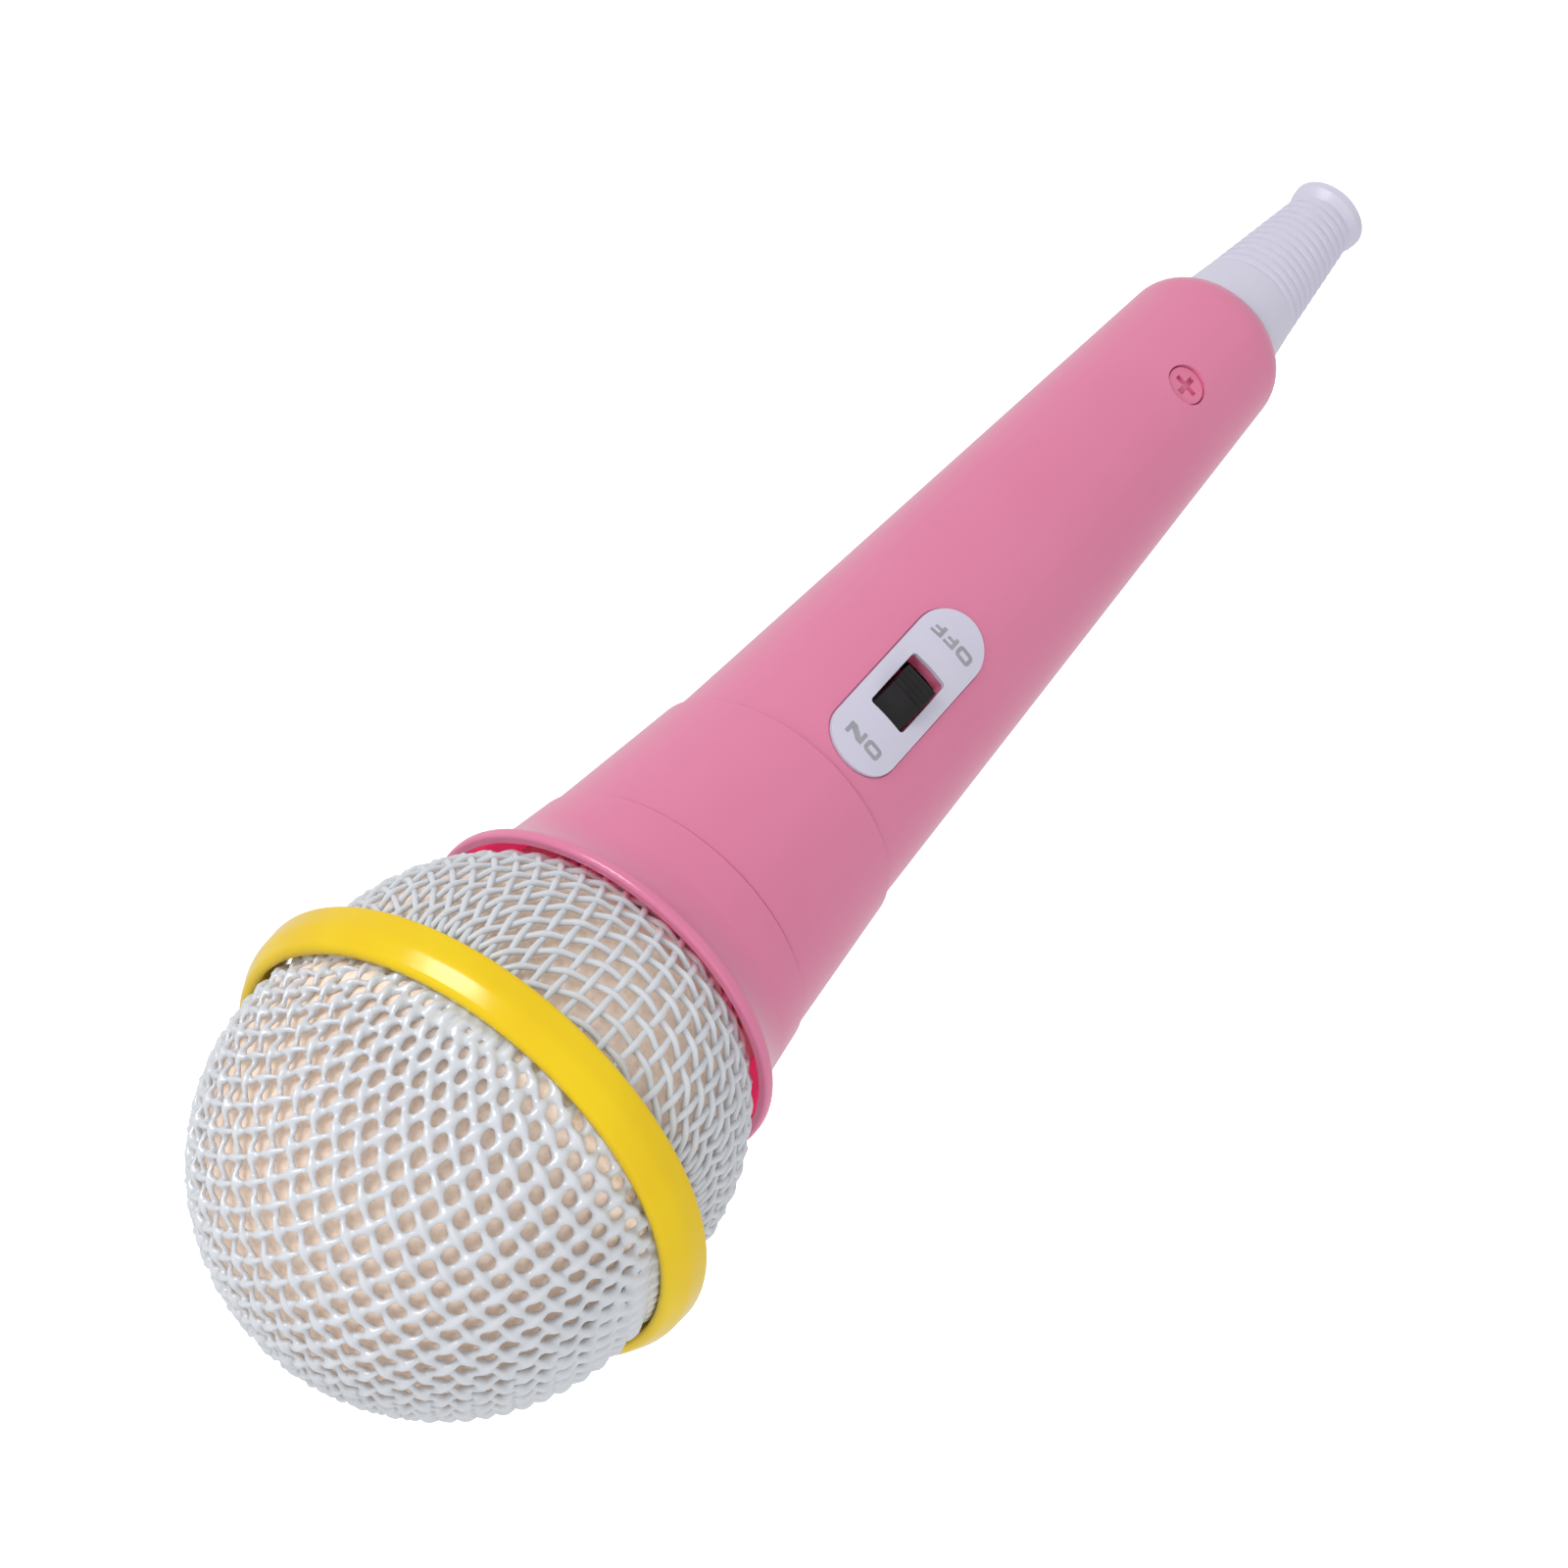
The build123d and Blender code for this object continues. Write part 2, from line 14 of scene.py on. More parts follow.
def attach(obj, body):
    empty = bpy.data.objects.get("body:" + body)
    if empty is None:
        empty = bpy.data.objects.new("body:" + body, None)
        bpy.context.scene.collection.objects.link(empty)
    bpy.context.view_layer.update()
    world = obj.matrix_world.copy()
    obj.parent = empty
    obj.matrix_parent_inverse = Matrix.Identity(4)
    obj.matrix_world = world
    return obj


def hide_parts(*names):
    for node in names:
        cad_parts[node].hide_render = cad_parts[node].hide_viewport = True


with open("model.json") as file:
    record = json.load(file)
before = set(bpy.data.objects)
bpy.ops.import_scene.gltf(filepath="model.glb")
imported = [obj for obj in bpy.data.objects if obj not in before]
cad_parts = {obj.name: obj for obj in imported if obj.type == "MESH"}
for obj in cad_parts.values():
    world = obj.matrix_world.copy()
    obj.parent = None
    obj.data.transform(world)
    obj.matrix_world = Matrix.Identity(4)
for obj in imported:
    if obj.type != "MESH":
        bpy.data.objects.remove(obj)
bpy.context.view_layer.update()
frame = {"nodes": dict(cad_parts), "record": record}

MM = 0.001
BODY = "microphone"


# ---------------------------------------------------------------- small helpers
def finished_piece(name, bm, smooth=True):
    """Makes an object of a bmesh worked in millimetres, and lets it ride on the microphone's body."""
    bmesh.ops.scale(bm, vec=(MM, MM, MM), verts=bm.verts)
    mesh = bpy.data.meshes.new(name)
    bm.to_mesh(mesh)
    bm.free()
    if smooth:
        mesh.shade_smooth()
    piece = bpy.data.objects.new(name, mesh)
    bpy.context.scene.collection.objects.link(piece)
    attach(piece, BODY)
    return piece


def settled(piece):
    """Applies a piece's modifiers to its mesh."""
    bpy.context.view_layer.update()
    seen = piece.evaluated_get(bpy.context.evaluated_depsgraph_get())
    mesh = bpy.data.meshes.new_from_object(seen)
    piece.modifiers.clear()
    piece.data = mesh
    mesh.shade_smooth()


def blended(low, high, part):
    """The value a part of the way from low to high, never past either."""
    return low + (high - low) * min(max(part, 0.0), 1.0)


def drawn_outline(bm, outline):
    """Draws a closed outline of (radius, height) points, and gives its corners."""
    corners = [bm.verts.new((r, 0, z)) for r, z in outline]
    for pair in zip(corners, corners[1:] + corners[:1]):
        bm.edges.new(pair)
    return corners


def spin_round(bm, steps):
    """Turns a drawn outline once round the axis."""
    bmesh.ops.spin(
        bm, geom=bm.verts[:] + bm.edges[:], cent=(0, 0, 0), axis=(0, 0, 1), angle=2 * math.pi, steps=steps,
        use_merge=True)


# ---------------------------------------------------------------- woven mesh
FINE = 8  # net steps from one wire to the next
SIDES = 8  # sides round a wire
DOME_CENTRE = 174.2


def draped_quarter(step, count):
    """A quarter of a square net laid on a unit ball from its pole, with all its little sides alike."""
    net = {}
    for i in range(count + 1):
        net[i, 0] = Vector((math.sin(i * step), 0, math.cos(i * step)))
        net[0, i] = Vector((0, math.sin(i * step), math.cos(i * step)))
    for i in range(1, count + 1):
        for j in range(1, count + 1):
            across = net[i, j - 1].cross(net[i - 1, j]).normalized()
            back = net[i - 1, j - 1]
            net[i, j] = (back - 2 * back.dot(across) * across).normalized()
    return net


def net_place(net, i, j, turn):
    """Any point of the whole net, mirrored from its quarter and turned about the axis."""
    spot = net[abs(i), abs(j)]
    x, y = math.copysign(spot.x, i), math.copysign(spot.y, j)
    c, s = math.cos(turn), math.sin(turn)
    return Vector((c * x - s * y, s * x + c * y, spot.z))


def wire_runs(weave):
    """Stations (middle, outward, thickness) of every wire of a woven ball."""
    count = math.ceil(weave["reach"] / weave["pitch"] * FINE)
    net = draped_quarter(weave["pitch"] / FINE / weave["radius"], count)
    shift = weave["shift"]
    every = weave["every"]
    for family in (0, 1):
        for line in range(-(count // FINE) - 1, count // FINE + 2):
            held = line * FINE + shift[1 - family]
            if abs(held) > count:
                continue
            run = []
            for k in range(-count, count + 1):
                i, j = (k, held) if family == 0 else (held, k)
                outward = net_place(net, i, j, weave["turn"])
                outward.z *= weave["pole"]
                phase = math.cos(math.pi * (k - shift[family]) / FINE) * (-1) ** line
                lift = weave["lift"](outward) * phase * (1 if family == 0 else -1)
                middle = Vector((0, 0, weave["centre"])) + outward * (weave["radius"] + lift)
                inside = weave["low"] < middle.z < weave["high"]
                if inside and (k - shift[family]) % every == 0:
                    knot = math.cos(math.pi * (k - shift[family]) / FINE) ** 2
                    run.append((middle, outward, weave["thick"](outward, knot)))
                if not inside and run:
                    yield run
                    run = []
            if len(run) > 1:
                yield run


def add_wire(bm, run):
    """One wire: a flat sheet rolled round the run's stations, with both ends closed."""
    if len(run) < 3:
        return
    last = len(run) - 1
    sheet = bmesh.ops.create_grid(bm, x_segments=last, y_segments=SIDES, size=1)["verts"]
    for vert in sheet:
        at = round((vert.co.x + 1) / 2 * last)
        middle, outward, radius = run[at]
        along = run[min(at + 1, last)][0] - run[max(at - 1, 0)][0]
        across = outward.cross(along).normalized()
        upward = along.cross(across).normalized()
        angle = math.pi * vert.co.y
        vert.co = middle + radius * (math.cos(angle) * across + math.sin(angle) * upward)
    bmesh.ops.remove_doubles(bm, verts=sheet, dist=0.002)
    whole = [v for v in sheet if v.is_valid]
    ends = list({e for v in whole for e in v.link_edges if e.is_boundary})
    bmesh.ops.holes_fill(bm, edges=ends, sides=0)


def woven(name, weave):
    bm = bmesh.new()
    for run in wire_runs(weave):
        wire = bmesh.new()
        add_wire(wire, run)
        part = bpy.data.meshes.new("wire")
        wire.to_mesh(part)
        wire.free()
        bm.from_mesh(part)
        bpy.data.meshes.remove(part)
    bmesh.ops.recalc_face_normals(bm, faces=bm.faces)
    return finished_piece(name, bm)


def dome_coat(outward):
    """How heavily the dip coat lies on the dome, from 0 to 1: most towards -X and -Y."""
    return blended(0, 1, 0.2 - outward.x * 0.65 - outward.y * 0.75)


def dome_lift(outward):
    """How far a dome wire swings in and out, less where the coat is heavy."""
    return 0.40 - 0.16 * dome_coat(outward)


def basket_lift(outward):
    """The basket's wires swing alike all over."""
    return 0.2


def dome_thickness(outward, knot):
    """The dip coat runs thicker towards one side and gathers where wires cross."""
    heavy = dome_coat(outward)
    return 0.36 + 0.11 * heavy + (0.03 + 0.15 * heavy) * knot


def basket_thickness(outward, knot):
    """A little thicker towards -X and where wires cross."""
    heavy = blended(0, 1, 0.45 - outward.x * 0.5)
    return 0.34 + 0.04 * heavy + 0.05 * knot


DOME_WEAVE = dict(
    radius=25.15, centre=DOME_CENTRE, pole=1, low=171.3, high=201, reach=44, pitch=2.535,
    shift=(2, -1), turn=math.radians(-17.5), lift=dome_lift, every=1, thick=dome_thickness)
BASKET_WEAVE = dict(
    radius=24.75, centre=164.2, pole=-1, low=145.1, high=170.7, reach=46, pitch=2.45, shift=(3, 1),
    turn=math.radians(-90.5), lift=basket_lift, every=2, thick=basket_thickness)


def dome_mesh():
    """Upper half of the ball: woven wire fused by its thick white dip coat."""
    piece = woven("dome_mesh", DOME_WEAVE)
    coat = piece.modifiers.new("coat", "REMESH")
    coat.mode = "VOXEL"
    coat.voxel_size = 0.3 * MM
    flow = piece.modifiers.new("flow", "SMOOTH")
    flow.factor = 0.5
    flow.iterations = 3
    # thinned to two thirds of its triangles after the coat is smoothed; thinned so that
    # the piece stays under 200,000 triangles
    thin = piece.modifiers.new("thin", "DECIMATE")
    thin.ratio = 0.66
    settled(piece)
    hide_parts("grille_dome")
    return piece


def basket_mesh():
    """Lower half of the ball, of finer wire, pressed into the collar."""
    piece = woven("basket_mesh", BASKET_WEAVE)
    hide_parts("grille_basket")
    return piece


# ---------------------------------------------------------------- clamp ring
RING_ROUND = 0.55
RING_STEPS = 160


def clamp_ring():
    """Smooth yellow band round the waist of the ball, its crest softly rounded."""
    bm = bmesh.new()
    corners = drawn_outline(
        bm, [(26.1, 173.2), (27.1, 173.25), (28.22, 171.0), (28.37, 168.1), (25.7, 167.8), (25.6, 168.2),
             (25.6, 169.4), (26.1, 170.0)])
    bmesh.ops.bevel(
        bm, geom=corners[1:4], offset=RING_ROUND, offset_type="OFFSET", segments=5, profile=0.5,
        affect="VERTICES", material=-1)
    spin_round(bm, RING_STEPS)
    bmesh.ops.recalc_face_normals(bm, faces=bm.faces)
    piece = finished_piece("clamp_ring", bm)
    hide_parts("grille_ring")
    return piece


# ---------------------------------------------------------------- foam
FOAM_R = 24.1
FOAM_HOLLOW_R = 20.1
FOAM_STEPS = 72
DENT_DEPTH = 0.18
DENT_RATE = 0.35


def crown_points(radius, parts):
    """Points of a quarter round over the dome's centre, whose part 0 is its side and part 12 its pole."""
    for k in parts:
        angle = k * math.pi / 24
        yield radius * math.cos(angle), DOME_CENTRE + radius * math.sin(angle)


def foam_pad():
    """Cup of open foam inside the mesh, drawn in below the clamp band's lip and swollen out over it.

    The swelling presses into the lip and into the wires beside it.
    """
    bm = bmesh.new()
    outline = [(18.2, 147.6), (19.3, 149.9), (21.3, 153.2), (22.8, 157.0), (23.55, 161.0), (23.65, 164.5),
               (23.5, 167.0), (22.0, 167.6), (21.95, 170.6), (22.6, 171.2), (24.62, 171.5), (24.55, 176.5)]
    outline += crown_points(FOAM_R, range(3, 12))
    outline += [(0, DOME_CENTRE + FOAM_R), (0, DOME_CENTRE + FOAM_HOLLOW_R)]
    outline += crown_points(FOAM_HOLLOW_R, range(11, 0, -1))
    outline += [(20.1, 170.0), (20.5, 165.0), (20.4, 160.0), (19.6, 156.0), (17.4, 151.0), (16.9, 148.4)]
    drawn_outline(bm, outline)
    middle = [e for e in bm.edges if all(v.co.x == 0 for v in e.verts)]
    bmesh.ops.delete(bm, geom=middle, context="EDGES_FACES")
    spin_round(bm, FOAM_STEPS)
    bmesh.ops.remove_doubles(bm, verts=bm.verts, dist=0.01)
    bmesh.ops.recalc_face_normals(bm, faces=bm.faces)
    bmesh.ops.subdivide_edges(bm, edges=bm.edges, cuts=1, use_grid_fill=True, smooth=0.6)
    for vert in bm.verts:
        vert.co -= vert.normal * DENT_DEPTH * (0.5 + 0.5 * noise.noise(vert.co * DENT_RATE))
    piece = finished_piece("foam_pad", bm)
    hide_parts("foam_liner")
    return piece


# ---------------------------------------------------------------- switch marks
SWITCH_Z = 102.8
HANDLE_END = 24.9
HANDLE_END_R = 9.6
HANDLE_TOP = 117.0
HANDLE_TOP_R = 15.2
HANDLE_SLOPE = (HANDLE_TOP_R - HANDLE_END_R) / (HANDLE_TOP - HANDLE_END)
PLATE_FACE = 0.21
MARK_STROKE = 0.47
MARK_HEIGHT = 1.6
MARK_WIDTHS = {"O": 2.15, "N": 2.3, "F": 1.5}
MARK_GAP = 0.32
ON_MIDDLE, OFF_MIDDLE = 9.2, -8.6  # along the handle from the switch's middle
CUT_STEP = 0.2
CUTS_EACH_SIDE = 19
INK = 0.03
INK_SUNK = 0.6  # part of the ink's thickness that lies below the plate's face


def letter_faces(bm, kind, left, width):
    """Flat outline of one wide block letter, its foot on y = 0."""
    s, high = MARK_STROKE, MARK_HEIGHT
    if kind == "O":
        place = Matrix.Translation((left + width / 2, high / 2, 0)) @ Matrix.Diagonal((width, high, 1, 1))
        face = bmesh.ops.create_grid(bm, x_segments=1, y_segments=1, size=0.5, matrix=place)
        bmesh.ops.bevel(
            bm, geom=face["verts"], offset=0.5, offset_type="OFFSET", segments=4, profile=0.5,
            affect="VERTICES", material=-1)
        whole = [f for f in bm.faces if left < f.calc_center_median().x < left + width]
        bmesh.ops.inset_region(bm, faces=whole, thickness=s, use_boundary=True)
        bmesh.ops.delete(bm, geom=whole, context="FACES")
        return
    if kind == "N":
        points = [(0, 0), (0, high), (s * 1.5, high), (width - s, s * 1.6), (width - s, high), (width, high)]
        points += [(width, 0), (width - s * 1.5, 0), (s, high - s * 1.6), (s, 0)]
    else:
        t, bar = s * 0.8, high * 0.52
        points = [(0, 0), (0, high), (width, high), (width, high - t), (s, high - t), (s, bar)]
        points += [(width * 0.86, bar), (width * 0.86, bar - t), (s, bar - t), (s, 0)]
    corners = [bm.verts.new((left + x, y, 0)) for x, y in points]
    bm.faces.new(reversed(corners))


def switch_mark(name, letters, middle):
    """A printed word on the switch plate, thin as its ink and bent to the plate's curve."""
    bm = bmesh.new()
    left = -(sum(MARK_WIDTHS[c] for c in letters) + MARK_GAP * (len(letters) - 1)) / 2
    for c in letters:
        letter_faces(bm, c, left, MARK_WIDTHS[c])
        left += MARK_WIDTHS[c] + MARK_GAP
    # narrow strips, so that the letters can bend with the plate
    for k in range(-CUTS_EACH_SIDE, CUTS_EACH_SIDE + 1):
        whole = bm.verts[:] + bm.edges[:] + bm.faces[:]
        bmesh.ops.bisect_plane(
            bm, geom=whole, dist=0.0001, plane_co=(k * CUT_STEP, 0, 0), plane_no=(1, 0, 0))
    bmesh.ops.recalc_face_normals(bm, faces=bm.faces)
    ink = bmesh.ops.extrude_face_region(bm, geom=bm.faces[:])
    raised = [v for v in ink["geom"] if isinstance(v, bmesh.types.BMVert)]
    bmesh.ops.translate(bm, verts=raised, vec=(0, 0, 1))
    tilt = math.atan(HANDLE_SLOPE)
    for vert in bm.verts:
        along = middle - MARK_HEIGHT / 2 + vert.co.y
        z = SWITCH_Z + along * math.cos(tilt)
        depth = PLATE_FACE + INK * (vert.co.z - INK_SUNK)
        radius = HANDLE_END_R + HANDLE_SLOPE * (z - HANDLE_END) + depth / math.cos(tilt)
        vert.co = Vector((vert.co.x, -math.sqrt(radius ** 2 - vert.co.x ** 2), z))
    bmesh.ops.recalc_face_normals(bm, faces=bm.faces)
    piece = finished_piece(name, bm, smooth=False)
    return piece


# ---------------------------------------------------------------- shader node groups
def new_group(name, inputs, outputs):
    group = bpy.data.node_groups.new(name, "ShaderNodeTree")
    for label, kind, value in inputs:
        socket = group.interface.new_socket(label, in_out="INPUT", socket_type=kind)
        socket.default_value = value
    for label, kind in outputs:
        group.interface.new_socket(label, in_out="OUTPUT", socket_type=kind)
    return group, group.nodes.new("NodeGroupInput"), group.nodes.new("NodeGroupOutput")


def feed(tree, socket, value):
    """Sets a socket to a constant, or links it to another node's output."""
    if isinstance(value, (int, float, tuple)):
        socket.default_value = value
    else:
        tree.links.new(value, socket)


def add_noise(tree, vector, scale, detail=3.0, roughness=0.55):
    node = tree.nodes.new("ShaderNodeTexNoise")
    node.inputs["Detail"].default_value = detail
    node.inputs["Roughness"].default_value = roughness
    tree.links.new(vector, node.inputs["Vector"])
    feed(tree, node.inputs["Scale"], scale)
    return node.outputs["Fac"]


def add_range(tree, value, low, high, to_low, to_high):
    node = tree.nodes.new("ShaderNodeMapRange")
    node.inputs["From Min"].default_value = low
    node.inputs["From Max"].default_value = high
    feed(tree, node.inputs["To Min"], to_low)
    feed(tree, node.inputs["To Max"], to_high)
    tree.links.new(value, node.inputs["Value"])
    return node.outputs["Result"]


def add_math(tree, operation, first, second):
    node = tree.nodes.new("ShaderNodeMath")
    node.operation = operation
    feed(tree, node.inputs[0], first)
    feed(tree, node.inputs[1], second)
    return node.outputs[0]


def add_mix(tree, amount, first, second):
    node = tree.nodes.new("ShaderNodeMix")
    node.data_type = "RGBA"
    for socket, value in ((node.inputs[0], amount), (node.inputs[6], first), (node.inputs[7], second)):
        feed(tree, socket, value)
    return node.outputs[2]


def add_parts(tree, vector):
    """The X, Y and Z of a vector."""
    node = tree.nodes.new("ShaderNodeSeparateXYZ")
    tree.links.new(vector, node.inputs[0])
    return node.outputs


def add_outward(tree, x, y):
    """How far the surface faces away from the axis, times its distance from the axis."""
    facing = add_parts(tree, tree.nodes.new("ShaderNodeNewGeometry").outputs["Normal"])
    across = add_math(tree, "MULTIPLY", x, facing[0])
    return add_math(tree, "ADD", across, add_math(tree, "MULTIPLY", y, facing[1]))


def add_between(tree, z, low, high):
    """1 between two heights and 0 elsewhere."""
    above = add_math(tree, "GREATER_THAN", z, low)
    below = add_math(tree, "LESS_THAN", z, high)
    return add_math(tree, "MULTIPLY", above, below)


def moulded_skin():
    """Slow colour drift, faint orange peel and a varied gloss, as moulded plastic has."""
    inputs = [("Colour", "NodeSocketColor", (1, 1, 1, 1)), ("Deep", "NodeSocketColor", (1, 1, 1, 1)),
              ("Drift Size", "NodeSocketFloat", 60.0), ("Peel Size", "NodeSocketFloat", 900.0),
              ("Smoothest", "NodeSocketFloat", 0.2), ("Roughest", "NodeSocketFloat", 0.3)]
    outputs = [("Colour", "NodeSocketColor"), ("Roughness", "NodeSocketFloat"), ("Height", "NodeSocketFloat")]
    group, given, result = new_group("moulded_skin", inputs, outputs)
    place = group.nodes.new("ShaderNodeTexCoord").outputs["Object"]
    drift = add_noise(group, place, given.outputs["Drift Size"])
    drift = add_range(group, drift, 0.35, 0.65, 0.0, 1.0)
    peel = add_noise(group, place, given.outputs["Peel Size"], detail=2.0)
    fine = add_noise(group, place, add_math(group, "MULTIPLY", given.outputs["Peel Size"], 4.0), detail=4.0)
    rubbed = add_noise(group, place, add_math(group, "MULTIPLY", given.outputs["Drift Size"], 3.0))
    group.links.new(
        add_mix(group, drift, given.outputs["Colour"], given.outputs["Deep"]), result.inputs["Colour"])
    group.links.new(
        add_range(group, rubbed, 0.1, 0.9, given.outputs["Smoothest"], given.outputs["Roughest"]),
        result.inputs["Roughness"])
    group.links.new(
        add_math(group, "ADD", peel, add_math(group, "MULTIPLY", fine, 0.25)), result.inputs["Height"])
    return group


def open_cells():
    """Open foam: a crowd of small pores between pale walls, painted darker as painted shade in their hollows,
    with a random cloud of tone.
    """
    inputs = [("Colour", "NodeSocketColor", (1, 1, 1, 1)), ("Pore", "NodeSocketColor", (0, 0, 0, 1)),
              ("Cell Size", "NodeSocketFloat", 1400.0)]
    outputs = [("Colour", "NodeSocketColor"), ("Height", "NodeSocketFloat")]
    group, given, result = new_group("open_cells", inputs, outputs)
    place = group.nodes.new("ShaderNodeTexCoord").outputs["Object"]
    cells = group.nodes.new("ShaderNodeTexVoronoi")
    group.links.new(place, cells.inputs["Vector"])
    group.links.new(given.outputs["Cell Size"], cells.inputs["Scale"])
    pores = add_range(group, cells.outputs["Distance"], 0.15, 0.6, 0.0, 1.0)
    cloud = add_range(group, add_noise(group, place, 260.0), 0.35, 0.7, 0.0, 0.25)
    # pores painted darker as painted shade in their hollows, plus a random cloud of tone
    pore_shade_and_cloud = add_math(group, "MULTIPLY", add_math(group, "SUBTRACT", 1.0, pores), 0.45)
    pore_shade_and_cloud = add_math(group, "ADD", pore_shade_and_cloud, cloud)
    group.links.new(
        add_mix(group, pore_shade_and_cloud, given.outputs["Colour"], given.outputs["Pore"]), result.inputs["Colour"])
    group.links.new(pores, result.inputs["Height"])
    return group


def handled_soil():
    """A thin darker film that gathers in patches, as on painted and rubbery surfaces."""
    inputs = [("Colour", "NodeSocketColor", (1, 1, 1, 1)), ("Soil", "NodeSocketColor", (0.5, 0.5, 0.5, 1)),
              ("Amount", "NodeSocketFloat", 0.1), ("Patch Size", "NodeSocketFloat", 120.0)]
    group, given, result = new_group("handled_soil", inputs, [("Colour", "NodeSocketColor")])
    place = group.nodes.new("ShaderNodeTexCoord").outputs["Object"]
    patch = add_noise(group, place, given.outputs["Patch Size"], detail=5.0)
    patch = add_range(group, patch, 0.45, 0.75, 0.0, given.outputs["Amount"])
    group.links.new(
        add_mix(group, patch, given.outputs["Colour"], given.outputs["Soil"]), result.inputs["Colour"])
    return group


def brushed_lines():
    """Fine lines running round a turned or rolled metal part."""
    inputs = [("Colour", "NodeSocketColor", (1, 1, 1, 1)), ("Dull", "NodeSocketColor", (0.5, 0.5, 0.5, 1)),
              ("Line Size", "NodeSocketFloat", 2500.0)]
    outputs = [("Colour", "NodeSocketColor"), ("Roughness", "NodeSocketFloat"), ("Height", "NodeSocketFloat")]
    group, given, result = new_group("brushed_lines", inputs, outputs)
    place = group.nodes.new("ShaderNodeTexCoord").outputs["Object"]
    flat = group.nodes.new("ShaderNodeMapping")
    flat.inputs["Scale"].default_value = (0.05, 0.05, 1.0)
    group.links.new(place, flat.inputs["Vector"])
    lines = add_noise(group, flat.outputs["Vector"], given.outputs["Line Size"], detail=2.0)
    stain = add_range(group, add_noise(group, place, 180.0), 0.4, 0.7, 0.0, 0.5)
    group.links.new(
        add_mix(group, stain, given.outputs["Colour"], given.outputs["Dull"]), result.inputs["Colour"])
    group.links.new(add_range(group, lines, 0.3, 0.7, 0.22, 0.42), result.inputs["Roughness"])
    group.links.new(lines, result.inputs["Height"])
    return group


def painted_soak_glow():
    """Painted glow on the walls that face the axis between two heights: no lamp, but a glow standing in for
    light soaking through a thin shell.
    """
    inputs = [("Glow", "NodeSocketColor", (0, 0, 0, 1)), ("Low", "NodeSocketFloat", 0.0),
              ("High", "NodeSocketFloat", 1.0)]
    group, given, result = new_group("painted_soak_glow", inputs, [("Glow", "NodeSocketColor")])
    x, y, z = add_parts(group, group.nodes.new("ShaderNodeTexCoord").outputs["Object"])
    inward = add_range(group, add_outward(group, x, y), -0.001, -0.006, 0.0, 1.0)
    between = add_between(group, z, given.outputs["Low"], given.outputs["High"])
    mask = add_math(group, "MULTIPLY", inward, between)
    # the mask picks where the painted glow is put
    group.links.new(add_mix(group, mask, (0, 0, 0, 1), given.outputs["Glow"]), result.inputs["Glow"])
    return group


def painted_sunk_glow():
    """Painted glow below a cone's surface, on the walls of the pocket and slot cut into a thin tapered shell,
    standing in for light soaking through.
    """
    inputs = [("Glow", "NodeSocketColor", (0, 0, 0, 1)), ("Rest", "NodeSocketColor", (0, 0, 0, 1)),
              ("Radius", "NodeSocketFloat", 0.01), ("Slope", "NodeSocketFloat", 0.0),
              ("Depth", "NodeSocketFloat", 0.0002), ("Low", "NodeSocketFloat", 0.0),
              ("High", "NodeSocketFloat", 1.0)]
    group, given, result = new_group("painted_sunk_glow", inputs, [("Glow", "NodeSocketColor")])
    x, y, z = add_parts(group, group.nodes.new("ShaderNodeTexCoord").outputs["Object"])
    square = add_math(group, "ADD", add_math(group, "MULTIPLY", x, x), add_math(group, "MULTIPLY", y, y))
    radius = add_math(group, "SQRT", square, 0.0)
    skin = add_math(group, "MULTIPLY", z, given.outputs["Slope"])
    skin = add_math(group, "ADD", skin, given.outputs["Radius"])
    skin = add_math(group, "SUBTRACT", skin, given.outputs["Depth"])
    deep = add_math(group, "LESS_THAN", radius, skin)
    outward = add_math(group, "DIVIDE", add_outward(group, x, y), radius)
    sideways = add_math(group, "LESS_THAN", outward, 0.6)
    between = add_between(group, z, given.outputs["Low"], given.outputs["High"])
    mask = add_math(group, "MULTIPLY", deep, between)
    mask = add_math(group, "MULTIPLY", mask, sideways)
    # the mask picks where the painted glow is put; elsewhere the rest glow passes on
    group.links.new(
        add_mix(group, mask, given.outputs["Rest"], given.outputs["Glow"]), result.inputs["Glow"])
    return group


MAKERS = (moulded_skin, open_cells, handled_soil, brushed_lines, painted_soak_glow, painted_sunk_glow)
GROUPS = {maker.__name__: maker() for maker in MAKERS}


# ---------------------------------------------------------------- materials
def new_material(name, **fixed):
    """A material with its Principled shader, constants set on the shader's own sockets."""
    material = bpy.data.materials.new(name)
    material.use_nodes = True
    shader = material.node_tree.nodes["Principled BSDF"]
    for socket, value in fixed.items():
        shader.inputs[socket.replace("_", " ")].default_value = value
    return material, material.node_tree, shader


def place_group(tree, name, **values):
    node = tree.nodes.new("ShaderNodeGroup")
    node.node_tree = GROUPS[name]
    for socket, value in values.items():
        node.inputs[socket.replace("_", " ")].default_value = value
    return node


def add_bump(tree, shader, height, distance, strength=1.0):
    bump = tree.nodes.new("ShaderNodeBump")
    bump.inputs["Distance"].default_value = distance
    bump.inputs["Strength"].default_value = strength
    tree.links.new(height, bump.inputs["Height"])
    tree.links.new(bump.outputs["Normal"], shader.inputs["Normal"])


def moulded(
        name, colour, deep, drift=60.0, peel=900.0, smoothest=0.2, roughest=0.3, depth=0.00001, **fixed):
    """Moulded plastic with its own drift, peel and gloss."""
    material, tree, shader = new_material(name, **fixed)
    skin = place_group(
        tree, "moulded_skin", Colour=(*colour, 1), Deep=(*deep, 1), Drift_Size=drift, Peel_Size=peel,
        Smoothest=smoothest, Roughest=roughest)
    tree.links.new(skin.outputs["Colour"], shader.inputs["Base Color"])
    tree.links.new(skin.outputs["Roughness"], shader.inputs["Roughness"])
    add_bump(tree, shader, skin.outputs["Height"], depth)
    return material


